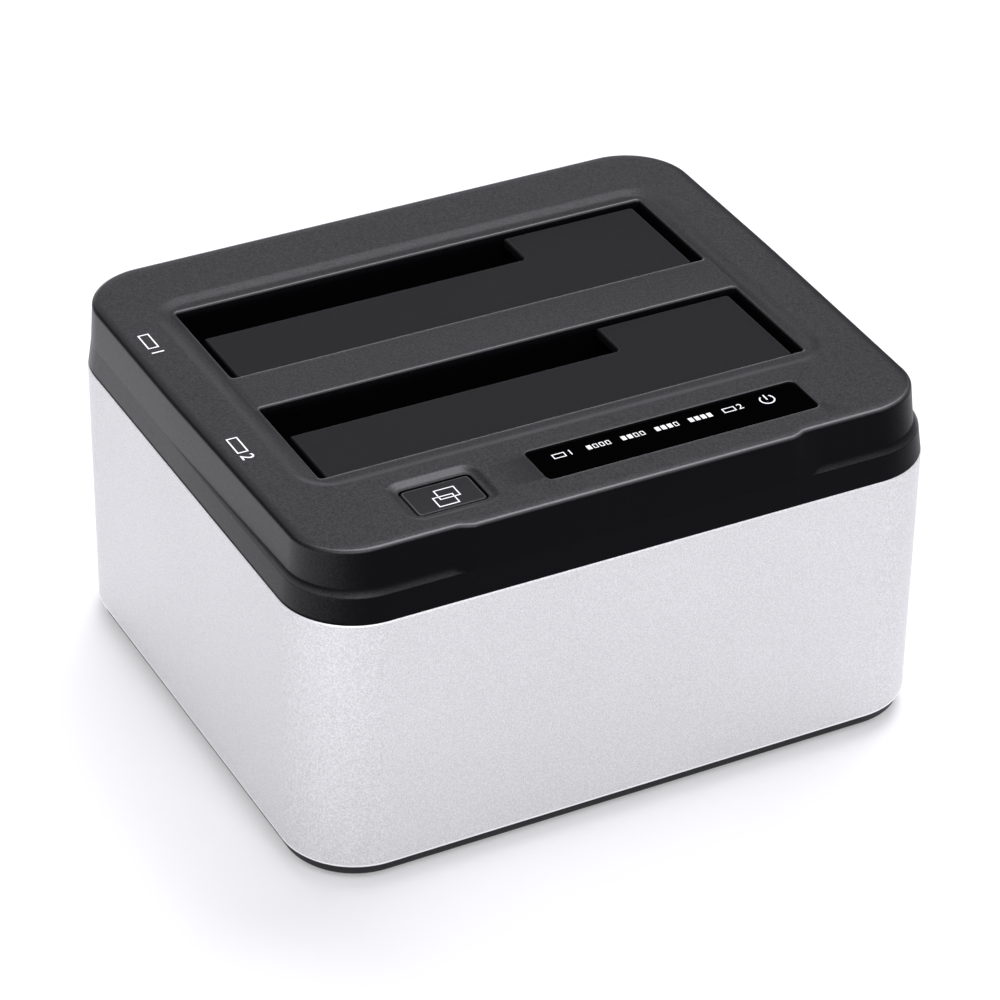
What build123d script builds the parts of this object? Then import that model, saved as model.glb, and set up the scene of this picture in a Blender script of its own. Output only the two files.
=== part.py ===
from build123d import *
import os

# A hard drive docking station with two drive bays, in millimetres.
# The origin is the centre of the footprint, on the surface that the station stands on.
# X runs along the long front, to the right, Y towards the back and Z up. The front faces -Y.

# Case: an aluminium sleeve between a moulded cover and a moulded base. An inset is measured
# from the edge of what carries the piece, and a rise or drop from the surface under or over it.
case_width = 134.0
case_depth = 116.0
case_corner = 15.0
sleeve_wall = 1.8
sleeve_height = 55.0
sleeve_edge = 0.35
cover_height = 13.6
floor_gap = 1.6
base_floor = 2.4
base_inset = 1.0
base_edge = 0.5

# Drives and the room that the bays give them.
drive_width = 101.6
drive_thickness = 26.1
small_drive_width = 69.85
small_drive_thickness = 9.5
drive_side_play = 0.7
drive_face_play = 1.1
notch_side_play = 1.35
notch_face_play = 1.55
bay_pitch = 39.1
front_bay_inset = 29.6
slot_edge = 0.45
slot_corner = 1.2

# Deck and cover walls.
deck_thickness = 2.6
tray_depth = 0.6
tray_slope = 2.4
tray_corner = 8.0
tray_rim_x = 5.0
tray_rim_y = 4.8
skirt_height = 5.8
skirt_reveal = 0.1
skirt_lean = 0.85
wall_side_inset = 2.0
wall_front_inset = 2.7
wall_rear_inset = 2.2
corner_step = 1.15
rear_corner_step = 0.6
deck_corner = 14.0
deck_edge = 0.7
corner_ledge_length = 33.6
bump_ramp = 3.0
bump_drift = 2.3
bump_blend = 2.5
side_step_start = 8.0
side_step_rear = 30.0
side_blend = 40.0
shell_inset = 3.6
shell_top_inset = 5.2
shell_corner = 11.0
spigot_depth = 3.5
joint_play = 0.2

# Fixings of the case.
pillar_inset = 9.5
pillar_r = 3.2
case_boss_r = 4.2
case_boss_height = 4.0
case_screw_r = 1.5
case_screw_length = 14.0
case_screw_seat = 1.6
case_screw_head_r = 2.8
case_screw_head = 1.8
screw_head_play = 0.3
screw_shank_play = 0.25
thread_play = 0.05
drive_slot = 0.7
drive_slot_share = 0.6

# Feet and the underside.
foot_side_inset = 17.0
foot_end_inset = 19.0
foot_r = 5.5
foot_recess = 0.9
foot_play = 0.1
foot_edge = 0.4
lip_height = 2.5
lip_wall = 1.6
vent_width = 2.0
vent_length = 22.0
vent_pitch = 5.0
vent_count = 8
vent_row_y = 17.0

# Doors, their pins and springs.
door_thickness = 1.8
door_drop = 0.3
door_gap_left = 1.4
door_gap_right = 2.5
door_gap_rear = 1.85
door_gap_front = 0.3
door_corner = 0.8
door_edge = 0.25
door_reveal = 0.2
pin_r = 0.8
pin_play = 0.06
knuckle_r = 1.9
knuckle_length = 14.0
knuckle_shares = (0.12, 0.45, 0.88)
knuckle_deck_gap = 0.2
arm_root = 2.4
spring_share = 0.56
spring_coil_r = 1.45
spring_wire_r = 0.2
spring_pitch = 0.85
spring_turns = 5
spring_leg = 7.0

# Bay frame below the deck.
frame_wall = 1.4
frame_deck_gap = 0.2
frame_floor = 1.6
frame_floor_z = 17.4
pocket_play = 0.4
pocket_reach_play = 1.0
rib_share = 0.17
ear_length = 6.5
ear_width = 8.0
ear_thickness = 2.0
ear_drop = 8.0
ear_front_shift = 8.4
ear_rear_shift = 14.3
ear_boss_r = 2.8
frame_screw_r = 1.2
frame_screw_length = 7.0
frame_screw_head_r = 2.3
frame_screw_head = 1.5

# Status window, its light guide and lamps.
window_left = -14.6
window_width = 57.8
window_front_inset = 10.0
window_depth = 10.4
window_corner = 1.2
window_thickness = 1.5
window_drop = 0.5
window_ledge = 0.8
window_play = 0.1
guide_side = 2.4
guide_wall = 1.2
guide_cell_width = 4.4
guide_cell_depth = 3.4
lamp_inset = 6.8
lamp_pitch = 7.17
lamp_count = 7
lamp_length = 1.6
lamp_width = 0.8
lamp_height = 0.6

# Clone button, its pocket and its switch.
button_left = -40.8
button_width = 14.2
button_front_inset = 10.5
button_depth = 8.8
button_play = 0.25
button_corner = 1.0
button_edge = 0.35
button_drop = 0.7
button_core = 2.3
button_flange = 0.8
button_flange_wall = 0.8
button_deck_gap = 0.2
button_travel = 0.8
pocket_depth = 0.6
pocket_slope = 1.5
pocket_margin = 0.35
switch_size = 6.0
switch_height = 3.4
switch_floor = 0.7
plunger_r = 1.6
plunger_play = 0.15

# Panel board that carries the lamps and the clone switch.
panel_board_drop = 7.6
panel_board_length = 96.0
panel_board_depth = 16.2
panel_board_inset = 5.5
board_thickness = 1.6
board_corner = 1.5
panel_post_r = 2.2
panel_post_inset = 3.2
panel_screw_r = 0.9
panel_screw_length = 6.0
panel_screw_head_r = 1.9
panel_screw_head = 1.2

# Main board and what it carries.
board_post_height = 5.0
board_side_inset = 13.5
board_front_inset = 24.0
board_rear_inset = 4.5
board_post_r = 2.6
board_post_inset = 4.0
board_screw_r = 1.2
board_screw_length = 5.0
board_screw_head_r = 2.2
board_screw_head = 1.4
socket_length = 41.0
socket_depth = 5.2
socket_height = 13.0
socket_foot_length = 45.0
socket_foot_depth = 8.0
socket_foot_height = 4.0
socket_offset_x = 30.5
socket_offset_y = 4.05
socket_mouth_play = 0.8
groove_depth = 5.0
groove_width = 1.9
signal_groove = 10.4
power_groove = 20.6
groove_gap = 2.6
signal_contacts = 7
power_contacts = 15
contact_pitch = 1.27
contact_width = 0.7
contact_thickness = 0.25
contact_height = 4.2
chip_size = 10.0
chip_height = 1.4
chip_side_inset = 19.5
small_chip_length = 5.0
small_chip_width = 4.0
coil_size = 7.0
coil_height = 3.6
coil_side_inset = 9.5
coil_front_inset = 14.0
can_r = 4.0
can_height = 9.0
can_base = 8.6
can_base_height = 1.0
can_side_inset = 12.5
can_rear_inset = 6.5

# Rear panel and its ports.
rear_opening_width = 78.0
rear_opening_height = 20.0
rear_opening_rise = 7.9
rear_opening_corner = 3.0
rear_recess = 1.0
rear_flange = 1.6
rear_flange_wall = 1.2
rear_panel_play = 0.15
port_play = 0.2
power_inlet_x = -26.0
power_inlet_width = 9.0
power_inlet_depth = 13.5
power_inlet_height = 11.0
power_inlet_nose_r = 4.0
power_inlet_bore_r = 3.15
power_inlet_bore_depth = 9.0
power_inlet_pin_r = 1.0
power_inlet_pin_back = 0.8
usb_width = 12.0
usb_depth = 16.0
usb_height = 12.4
usb_mouth_width = 8.4
usb_mouth_height = 7.6
usb_upper_width = 5.6
usb_upper_height = 2.8
usb_mouth_depth = 12.0
usb_mouth_floor = 1.0
usb_corner = 0.5
usb_tongue_width = 5.6
usb_tongue_height = 3.2
usb_tongue_length = 9.5
power_button_x = 26.0
power_button_r = 4.0
power_button_length = 4.2
power_button_proud = 0.7
power_button_flange = 0.8
power_button_flange_wall = 1.0
power_button_play = 0.25
power_button_travel = 1.5
power_button_edge = 0.4
power_switch_width = 8.0
power_switch_depth = 11.0
power_switch_height = 10.0
power_switch_gap = 0.5
power_plunger_length = 6.5

# Flat signal lead between the two boards.
lead_x = 20.0
lead_width = 9.0
lead_thickness = 0.7
lead_bend = 4.0
lead_front_inset = 11.0
lead_rear_inset = 2.4
lead_low_rise = 15.4
lead_step_rise = 9.9
plug_width = 12.0
plug_depth = 4.2
plug_height = 4.0

overrun = 1.0

# Levels and edges that follow from the sizes above.
half_width = case_width / 2
half_depth = case_depth / 2
front_bay_y = front_bay_inset - half_depth
bump_half_width = half_width - corner_ledge_length
pillar_x = half_width - pillar_inset
pillar_y = half_depth - pillar_inset
foot_x = half_width - foot_side_inset
foot_y = half_depth - foot_end_inset
window_front_y = window_front_inset - half_depth
lamp_first_x = window_left + lamp_inset
button_front_y = button_front_inset - half_depth
panel_board_front_y = panel_board_inset - half_depth
board_length = case_width - 2 * board_side_inset
board_front_y = board_front_inset - half_depth
board_rear_y = half_depth - board_rear_inset
chip_x = board_length / 2 - chip_side_inset
coil_x = board_length / 2 - coil_side_inset
coil_y = board_front_y + coil_front_inset
can_x = board_length / 2 - can_side_inset
can_y = board_rear_y - can_rear_inset
lead_y = panel_board_front_y + lead_front_inset
lead_rear_y = board_front_y + lead_rear_inset
base_top = floor_gap + base_floor
sleeve_top = base_top + sleeve_height
deck_z = sleeve_top + cover_height
deck_under = deck_z - deck_thickness
tray_z = deck_z - tray_depth
ledge_z = sleeve_top + skirt_height
slot_width = drive_width + 2 * drive_side_play
slot_depth = drive_thickness + drive_face_play
slot_left = -slot_width / 2
slot_right = slot_width / 2
notch_width = small_drive_width + notch_side_play
notch_depth = small_drive_thickness + notch_face_play
bay_fronts = (front_bay_y + bay_pitch, front_bay_y)
ear_front_y = front_bay_y + ear_front_shift
ear_rear_y = front_bay_y + bay_pitch + ear_rear_shift
tray_front = front_bay_y - tray_rim_y
tray_rear = front_bay_y + bay_pitch + slot_depth + tray_rim_y
door_top = tray_z - door_drop
pin_z = deck_under - knuckle_deck_gap - knuckle_r
pin_forward = door_top - pin_z - door_reveal
door_swing = slot_depth - door_gap_rear + pin_forward
frame_top = deck_under - frame_deck_gap
frame_bottom = frame_floor_z
bay_floor_z = frame_floor_z + frame_floor
pocket_front = pin_forward + knuckle_r + pocket_play
pocket_bottom = pin_z - door_swing - pocket_reach_play
board_z = base_top + board_post_height
board_top = board_z + board_thickness
rear_opening_z = board_top + rear_opening_rise
lead_low_z = board_top + lead_low_rise
lead_step_z = board_top + lead_step_rise
socket_x = slot_left + socket_offset_x
socket_top = board_top + socket_height
panel_board_top = deck_z - panel_board_drop
panel_board_z = panel_board_top - board_thickness
panel_screw_hole = panel_screw_length - board_thickness
rear_face = half_depth - rear_recess
rear_inner = half_depth - sleeve_wall
rear_panel_back = rear_inner - rear_flange_wall
button_top = deck_z - button_drop
button_under = button_top - button_core
window_top = deck_z - window_drop
window_under = window_top - window_thickness


def block(x0, x1, y0, y1, z0, z1):
    middle = Pos((x0 + x1) / 2, (y0 + y1) / 2, (z0 + z1) / 2)
    return middle * Box(x1 - x0, y1 - y0, z1 - z0)


def soft_block(x0, x1, y0, y1, z0, z1, corner):
    outline = Pos((x0 + x1) / 2, (y0 + y1) / 2, z0) * RectangleRounded(x1 - x0, y1 - y0, corner)
    return extrude(outline, z1 - z0)


def post(x, y, z0, z1, r):
    return Pos(x, y, (z0 + z1) / 2) * Cylinder(r, z1 - z0)


def rod_x(x0, x1, y, z, r):
    return Pos((x0 + x1) / 2, y, z) * Rot(0, 90, 0) * Cylinder(r, x1 - x0)


def rod_y(x, y0, y1, z, r):
    return Pos(x, (y0 + y1) / 2, z) * Rot(90, 0, 0) * Cylinder(r, y1 - y0)


def joined(pieces):
    whole = pieces[0]
    for piece in pieces[1:]:
        whole = whole + piece
    return whole


def case_outline(inset, z, corner=case_corner):
    sheet = RectangleRounded(case_width - 2 * inset, case_depth - 2 * inset, corner)
    return Pos(0, 0, z) * sheet


def four(x, y):
    return [(sx * x, sy * y) for sx in (-1, 1) for sy in (-1, 1)]


def screw(x, y, head_z, head_r, head_height, shank_r, length):
    # The head hangs below head_z and the shank stands up from it, with a cross cut in the head.
    bottom = head_z - head_height
    body = post(x, y, bottom, head_z, head_r) + post(x, y, head_z, head_z + length, shank_r)
    reach = head_r * drive_slot_share
    depth = head_height * drive_slot_share
    cut_x = block(x - reach, x + reach, y - drive_slot / 2, y + drive_slot / 2, bottom, bottom + depth)
    cut_y = block(x - drive_slot / 2, x + drive_slot / 2, y - reach, y + reach, bottom, bottom + depth)
    return body - cut_x - cut_y


def screw_down(x, y, head_z, head_r, head_height, shank_r, length):
    # The same screw turned over: its head stands on head_z and its shank points down.
    upright = screw(0, 0, 0, head_r, head_height, shank_r, length)
    return Pos(x, y, head_z) * Rot(180, 0, 0) * upright


def save(shape, name):
    solids = shape.solids()
    if len(solids) == 1:
        shape = solids[0]
    else:
        shape = Compound(children=list(solids))
    export_step(shape, "parts/" + name + ".step")


# The sleeve

def body_sleeve():
    outside = extrude(case_outline(0, base_top), sleeve_height)
    ends = outside.faces().filter_by(Axis.Z).edges()
    outside = chamfer(ends, sleeve_edge)
    inner_corner = case_corner - sleeve_wall
    inside = extrude(case_outline(sleeve_wall, base_top, inner_corner), sleeve_height)
    opening = Pos(0, half_depth, rear_opening_z) * Rot(90, 0, 0) * RectangleRounded(
        rear_opening_width, rear_opening_height, rear_opening_corner)
    return outside - inside - extrude(opening, case_corner)


# The base and what it stands on

def base_plate():
    corner = case_corner - base_inset
    floor = extrude(case_outline(base_inset, floor_gap, corner), base_floor)
    rim = floor.faces().sort_by(Axis.Z)[0].edges()
    floor = chamfer(rim, base_edge)
    lip_inset = sleeve_wall + joint_play
    lip_corner = case_corner - lip_inset
    lip = extrude(case_outline(lip_inset, base_top, lip_corner), lip_height)
    hollow = case_outline(lip_inset + lip_wall, base_top, lip_corner - lip_wall)
    plate = floor + (lip - extrude(hollow, lip_height))
    boss_top = base_top + case_boss_height
    head_seat = boss_top - case_screw_seat
    for x, y in four(pillar_x, pillar_y):
        plate += post(x, y, base_top, boss_top, case_boss_r)
    for x, y in four(pillar_x, pillar_y):
        plate -= post(x, y, 0, head_seat, case_screw_head_r + screw_head_play)
        plate -= post(x, y, 0, boss_top, case_screw_r + screw_shank_play)
    for x, y in board_post_places():
        plate += post(x, y, base_top, board_z, board_post_r)
    for x, y in board_post_places():
        plate -= post(x, y, base_top, board_z, board_screw_r + thread_play)
    for x, y in four(foot_x, foot_y):
        plate -= post(x, y, 0, floor_gap + foot_recess, foot_r + foot_play)
    for row in (-1, 1):
        for i in range(vent_count):
            x = (i - (vent_count - 1) / 2) * vent_pitch
            y = row * vent_row_y
            slot = Pos(x, y, 0) * SlotOverall(vent_length, vent_width, rotation=90)
            plate -= extrude(slot, base_top)
    return plate


def board_post_places():
    x = board_length / 2 - board_post_inset
    return [(s * x, y) for s in (-1, 1)
            for y in (board_front_y + board_post_inset, board_rear_y - board_post_inset)]


def rubber_feet():
    feet = []
    for x, y in four(foot_x, foot_y):
        foot = post(x, y, 0, floor_gap + foot_recess, foot_r)
        feet.append(chamfer(foot.edges().sort_by(Axis.Z)[0], foot_edge))
    return Compound(children=feet)


def case_screws():
    head_z = base_top + case_boss_height - case_screw_seat
    return Compound(children=[
        screw(x, y, head_z, case_screw_head_r, case_screw_head, case_screw_r, case_screw_length)
        for x, y in four(pillar_x, pillar_y)])


# The top cover

def wall_outline(z, side, front, rear, step, ramp_shift):
    # The cover's outline at one height. The middles of the front and the sides stand out
    # by the step from the corners.
    x = half_width - side
    y_front = half_depth - front
    y_rear = half_depth - rear
    rear_step = rear_corner_step * step / corner_step
    jog = bump_half_width + ramp_shift
    right = [
        (jog, -y_front), (jog + bump_ramp, -y_front + step), (x - step, -y_front + step),
        (x, side_step_start), (x, side_step_rear), (x - rear_step, y_rear)]
    left = [(-px, py) for px, py in reversed(right)]
    sheet = make_face(Polyline(*right, *left, close=True))
    corners = [v for v in sheet.vertices()
               if abs(v.X) > half_width - case_corner and abs(v.Y) > half_depth - case_corner]
    sheet = fillet(corners, deck_corner)
    jogs = [v for v in sheet.vertices()
            if min(abs(abs(v.X) - jog), abs(abs(v.X) - jog - bump_ramp)) < joint_play]
    sheet = fillet(jogs, bump_blend)
    bends = [v for v in sheet.vertices()
             if abs(v.Y - side_step_start) < joint_play or abs(v.Y - side_step_rear) < joint_play]
    sheet = fillet(bends, side_blend)
    return Pos(0, 0, z) * sheet


def cover_outside():
    skirt = loft([case_outline(skirt_reveal, sleeve_top),
                  case_outline(skirt_lean, ledge_z, case_corner - skirt_lean)], ruled=True)
    low = wall_outline(ledge_z, skirt_lean, skirt_lean, skirt_lean, corner_step, bump_drift)
    high = wall_outline(deck_z, wall_side_inset, wall_front_inset, wall_rear_inset, corner_step, 0)
    upper = loft([low, high], ruled=True)
    rim = upper.faces().sort_by(Axis.Z)[-1].edges()
    upper = fillet(rim, deck_edge)
    return skirt + upper


def pocket_cut(x0, x1, y0, y1, depth, slope, corner):
    # A shallow pocket in the deck with sloping sides; the given edges are its floor.
    middle = ((x0 + x1) / 2, (y0 + y1) / 2)
    length = x1 - x0
    width = y1 - y0
    floor = Pos(*middle, deck_z - depth) * RectangleRounded(length, width, corner)
    mouth = Pos(*middle, deck_z) * RectangleRounded(
        length + 2 * slope, width + 2 * slope, corner + slope)
    above = extrude(mouth, overrun)
    return loft([floor, mouth], ruled=True) + above


def cover_hollow():
    low = sleeve_top - spigot_depth
    return loft([case_outline(shell_inset, low, shell_corner),
                 case_outline(shell_top_inset, deck_under, shell_corner)], ruled=True)


def cover_bosses():
    pieces = []
    pillar_foot = base_top + case_boss_height
    for x, y in four(pillar_x, pillar_y):
        pieces.append(post(x, y, pillar_foot, deck_under + joint_play, pillar_r)
                      - post(x, y, pillar_foot, pillar_foot + case_screw_length, case_screw_r + thread_play))
    for x, y in frame_screw_places():
        foot = deck_under - ear_drop
        pieces.append(post(x, y, foot, deck_under + joint_play, ear_boss_r)
                      - post(x, y, foot, foot + frame_screw_length, frame_screw_r + thread_play))
    for x, y in panel_post_places():
        pieces.append(post(x, y, panel_board_top, deck_under + joint_play, panel_post_r)
                      - post(x, y, panel_board_top, panel_board_top + panel_screw_hole,
                             panel_screw_r + thread_play))
    return pieces


def top_cover():
    spigot_inset = sleeve_wall + joint_play
    spigot = extrude(case_outline(spigot_inset, sleeve_top - spigot_depth, case_corner - spigot_inset),
                     spigot_depth)
    cover = cover_outside() + spigot - cover_hollow()
    tray_half = slot_width / 2 + tray_rim_x - tray_slope
    cover -= pocket_cut(-tray_half, tray_half, tray_front + tray_slope, tray_rear - tray_slope,
                        tray_depth, tray_slope, tray_corner - tray_slope)
    for y in bay_fronts:
        opening = soft_block(slot_left, slot_right, y, y + slot_depth,
                             deck_under - overrun, deck_z + overrun, slot_corner)
        cover -= opening
    slot_rims = [e for e in cover.edges() if is_slot_rim(e)]
    cover = fillet(slot_rims, slot_edge)
    cover -= window_cut()
    cover -= button_cut()
    for piece in cover_bosses():
        cover += piece
    return cover


def is_slot_rim(edge):
    middle = edge.center()
    inside_x = abs(middle.X) < slot_right + joint_play
    inside_y = any(y - joint_play < middle.Y < y + slot_depth + joint_play for y in bay_fronts)
    return inside_x and inside_y and abs(middle.Z - tray_z) < joint_play / 2


def window_cut():
    x1 = window_left + window_width
    y1 = window_front_y + window_depth
    seat = soft_block(window_left, x1, window_front_y, y1, window_under, deck_z + overrun, window_corner)
    through = block(window_left + window_ledge, x1 - window_ledge,
                    window_front_y + window_ledge, y1 - window_ledge,
                    deck_under - overrun, window_under + overrun / 2)
    return seat + through


def button_cut():
    x0 = button_left - button_play
    x1 = button_left + button_width + button_play
    y0 = button_front_y - button_play
    y1 = button_front_y + button_depth + button_play
    hole = soft_block(x0, x1, y0, y1, deck_under - overrun, deck_z + overrun,
                      button_corner + button_play)
    hollow = pocket_cut(x0 - pocket_margin, x1 + pocket_margin, y0 - pocket_margin, y1 + pocket_margin,
                        pocket_depth, pocket_slope, button_corner + button_play + pocket_margin)
    return hole + hollow


# The doors

def door_plate(y):
    x0 = slot_left + door_gap_left
    x1 = slot_right - door_gap_right
    y0 = y + door_gap_front
    y1 = y + slot_depth - door_gap_rear
    plate = soft_block(x0, x1, y0, y1, door_top - door_thickness, door_top, door_corner)
    notch = block(x0 - overrun, slot_left + notch_width, y + slot_depth - notch_depth, y1 + overrun,
                  door_top - door_thickness, door_top)
    plate -= notch
    inner = [e for e in plate.edges().filter_by(Axis.Z)
             if abs(e.center().X - slot_left - notch_width) < joint_play
             and abs(e.center().Y - y - slot_depth + notch_depth) < joint_play]
    plate = fillet(inner, door_corner)
    top = plate.faces().sort_by(Axis.Z)[-1]
    return chamfer(top.edges(), door_edge)


def knuckle_centres():
    x0 = slot_left + door_gap_left
    length = slot_width - door_gap_left - door_gap_right
    return [x0 + share * length for share in knuckle_shares]


def door(y):
    leaf = door_plate(y)
    pin_y = y - pin_forward
    root = y + door_gap_front
    for x in knuckle_centres():
        x0 = x - knuckle_length / 2
        x1 = x + knuckle_length / 2
        leaf += rod_x(x0, x1, pin_y, pin_z, knuckle_r)
        leaf += block(x0, x1, pin_y, root + arm_root, pin_z, pin_z + knuckle_r)
        leaf += block(x0, x1, root, root + arm_root, pin_z, door_top - door_thickness / 2)
    return leaf - rod_x(slot_left, slot_right, pin_y, pin_z, pin_r + pin_play)


def door_pin(y):
    return rod_x(slot_left - frame_wall, slot_right + frame_wall, y - pin_forward, pin_z, pin_r)


def door_spring(y):
    # One wire: a short leg against the frame, the coil round the pin and a long leg
    # under the door. It is made about Z, then turned to lie along the pin.
    length = slot_width - door_gap_left - door_gap_right
    x0 = slot_left + door_gap_left + spring_share * length
    coil_length = spring_pitch * spring_turns
    coil = Helix(spring_pitch, coil_length, spring_coil_r)
    front_leg = Line(coil @ 0 - (coil % 0) * knuckle_r, coil @ 0)
    rear_leg = Line(coil @ 1, coil @ 1 + (coil % 1) * spring_leg)
    path = Wire([*front_leg.edges(), *coil.edges(), *rear_leg.edges()])
    wire = sweep(Plane(origin=path @ 0, z_dir=path % 0) * Circle(spring_wire_r), path)
    along_pin = Pos(x0, y - pin_forward, pin_z) * Rot(0, -90, 0) * Pos(0, 0, -coil_length)
    return along_pin * wire


# The bay frame

def frame_screw_places():
    x = slot_right + frame_wall + ear_length / 2
    return [(s * x, y) for s in (-1, 1) for y in (ear_front_y, ear_rear_y)]


def bay_frame():
    x0 = slot_left - frame_wall
    x1 = slot_right + frame_wall
    pieces = []
    for y in bay_fronts:
        upper = block(x0, x1, y - pocket_front - frame_wall, y + slot_depth + frame_wall,
                      pocket_bottom - frame_wall, frame_top)
        lower = block(x0, x1, y - frame_wall, y + slot_depth + frame_wall, frame_bottom, pocket_bottom)
        pieces += [upper, lower]
    pieces += frame_ribs()
    frame = joined(pieces)
    for y in bay_fronts:
        frame -= block(slot_left, slot_right, y - pocket_front, y + slot_depth,
                       pocket_bottom, frame_top + overrun)
        frame -= block(slot_left, slot_right, y, y + slot_depth, bay_floor_z, frame_top)
        frame -= rod_x(x0, x1, y - pin_forward, pin_z, pin_r)
        frame -= socket_mouth(y)
    for x, y in frame_screw_places():
        side = 1 if x > 0 else -1
        top = deck_under - ear_drop
        inner = side * (slot_right + frame_wall)
        outer = inner + side * ear_length
        frame += block(min(inner, outer), max(inner, outer), y - ear_width / 2, y + ear_width / 2,
                       top - ear_thickness, top)
        frame += ear_web(inner, outer, y - ear_width / 2 + frame_wall / 2, top)
        frame += ear_web(inner, outer, y + ear_width / 2 - frame_wall / 2, top)
        frame -= post(x, y, top - ear_thickness, top, frame_screw_r + screw_shank_play)
    return frame


def frame_ribs():
    # Two end walls and two ribs tie the bays together across the gap between them.
    rear_y, front_y = bay_fronts
    places = [slot_left - frame_wall / 2, slot_right + frame_wall / 2]
    places += [side * slot_width * rib_share for side in (-1, 1)]
    return [block(x - frame_wall / 2, x + frame_wall / 2, front_y + slot_depth, rear_y,
                  frame_bottom, frame_top) for x in places]


def ear_web(inner, outer, y, top):
    under = top - ear_thickness
    web = Plane.XZ.offset(-y) * make_face(Polyline(
        (inner, under), (outer, under), (inner, under - ear_length), close=True))
    return extrude(web, frame_wall / 2, both=True)


def socket_mouth(y):
    half_length = socket_foot_length / 2 + socket_mouth_play
    half_mouth = socket_depth / 2 + socket_mouth_play
    centre = y + slot_depth - socket_offset_y
    return block(socket_x - half_length, socket_x + half_length,
                 centre - half_mouth, min(centre + half_mouth, y + slot_depth),
                 frame_bottom, bay_floor_z)


def frame_screws():
    head_z = deck_under - ear_drop - ear_thickness
    return Compound(children=[
        screw(x, y, head_z, frame_screw_head_r, frame_screw_head, frame_screw_r, frame_screw_length)
        for x, y in frame_screw_places()])


# The status window, lamps and panel board

def display_window():
    return soft_block(window_left + window_play, window_left + window_width - window_play,
                      window_front_y + window_play, window_front_y + window_depth - window_play,
                      window_under, window_top, window_corner - window_play)


def lamp_places():
    y = window_front_y + window_depth / 2
    return [(lamp_first_x + i * lamp_pitch, y) for i in range(lamp_count)]


def light_guide():
    x0 = window_left + guide_side
    x1 = window_left + window_width - guide_side
    y0 = window_front_y + guide_side
    y1 = window_front_y + window_depth - guide_side
    bar = block(x0, x1, y0, y1, panel_board_top, window_under)
    for x, y in lamp_places():
        bar -= block(x - guide_cell_width / 2, x + guide_cell_width / 2,
                     y - guide_cell_depth / 2, y + guide_cell_depth / 2,
                     panel_board_top, window_under - guide_wall)
    return bar


def status_lamps():
    return Compound(children=[
        block(x - lamp_length / 2, x + lamp_length / 2, y - lamp_width / 2, y + lamp_width / 2,
              panel_board_top, panel_board_top + lamp_height) for x, y in lamp_places()])


def panel_post_places():
    x = panel_board_length / 2 - panel_post_inset
    y0 = panel_board_front_y + panel_post_inset
    y1 = panel_board_front_y + panel_board_depth - panel_post_inset
    return [(s * x, y) for s in (-1, 1) for y in (y0, y1)]


def panel_board():
    board = soft_block(-panel_board_length / 2, panel_board_length / 2, panel_board_front_y,
                       panel_board_front_y + panel_board_depth, panel_board_z, panel_board_top,
                       board_corner)
    for x, y in panel_post_places():
        board -= post(x, y, panel_board_z, panel_board_top, panel_screw_r + screw_shank_play)
    return board


def panel_screws():
    return Compound(children=[
        screw(x, y, panel_board_z, panel_screw_head_r, panel_screw_head, panel_screw_r,
              panel_screw_length) for x, y in panel_post_places()])


# The clone button and its switch

def button_centre():
    return (button_left + button_width / 2, button_front_y + button_depth / 2)


def clone_button():
    x, y = button_centre()
    cap = soft_block(button_left, button_left + button_width, button_front_y,
                     button_front_y + button_depth, button_under, button_top, button_corner)
    cap = chamfer(cap.faces().sort_by(Axis.Z)[-1].edges(), button_edge)
    flange_top = deck_under - button_deck_gap
    grow = button_flange
    flange_bottom = flange_top - button_flange_wall
    rim = block(button_left - grow, button_left + button_width + grow, button_front_y - grow,
                button_front_y + button_depth + grow, flange_bottom, flange_top)
    inner_x = button_width / 2 - button_flange_wall
    inner_y = button_depth / 2 - button_flange_wall
    rim -= block(x - inner_x, x + inner_x, y - inner_y, y + inner_y, flange_bottom, button_under)
    return cap + rim


def clone_plunger():
    x, y = button_centre()
    return post(x, y, panel_board_top + switch_floor + button_travel + plunger_play,
                button_under, plunger_r)


def clone_switch():
    x, y = button_centre()
    half = switch_size / 2
    top = panel_board_top + switch_height
    body = block(x - half, x + half, y - half, y + half, panel_board_top, top)
    return body - post(x, y, panel_board_top + switch_floor, top, plunger_r + plunger_play)


# The main board

def main_board():
    board = soft_block(-board_length / 2, board_length / 2, board_front_y, board_rear_y,
                       board_z, board_top, board_corner)
    for x, y in board_post_places():
        board -= post(x, y, board_z, board_top, board_screw_r + screw_shank_play)
    return board


def board_screws():
    return Compound(children=[
        screw_down(x, y, board_top, board_screw_head_r, board_screw_head, board_screw_r,
                   board_screw_length) for x, y in board_post_places()])


def groove_spans():
    whole = signal_groove + groove_gap + power_groove
    x0 = socket_x - whole / 2
    return [(x0, signal_groove, signal_contacts),
            (x0 + signal_groove + groove_gap, power_groove, power_contacts)]


def drive_socket(y):
    centre = y + slot_depth - socket_offset_y
    body = block(socket_x - socket_length / 2, socket_x + socket_length / 2,
                 centre - socket_depth / 2, centre + socket_depth / 2, board_top, socket_top)
    foot = block(socket_x - socket_foot_length / 2, socket_x + socket_foot_length / 2,
                 centre - socket_foot_depth / 2, centre + socket_foot_depth / 2,
                 board_top, board_top + socket_foot_height)
    socket = body + foot
    for x0, length, _ in groove_spans():
        socket -= block(x0, x0 + length, centre - groove_width / 2, centre + groove_width / 2,
                        socket_top - groove_depth, socket_top)
    return socket


def drive_contacts(y):
    centre = y + slot_depth - socket_offset_y
    y0 = centre - groove_width / 2
    z0 = socket_top - groove_depth
    blades = []
    for x0, length, count in groove_spans():
        first = x0 + length / 2 - (count - 1) / 2 * contact_pitch
        for i in range(count):
            x = first + i * contact_pitch
            blades.append(block(x - contact_width / 2, x + contact_width / 2,
                                y0, y0 + contact_thickness, z0, z0 + contact_height))
    return Compound(children=blades)


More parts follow.
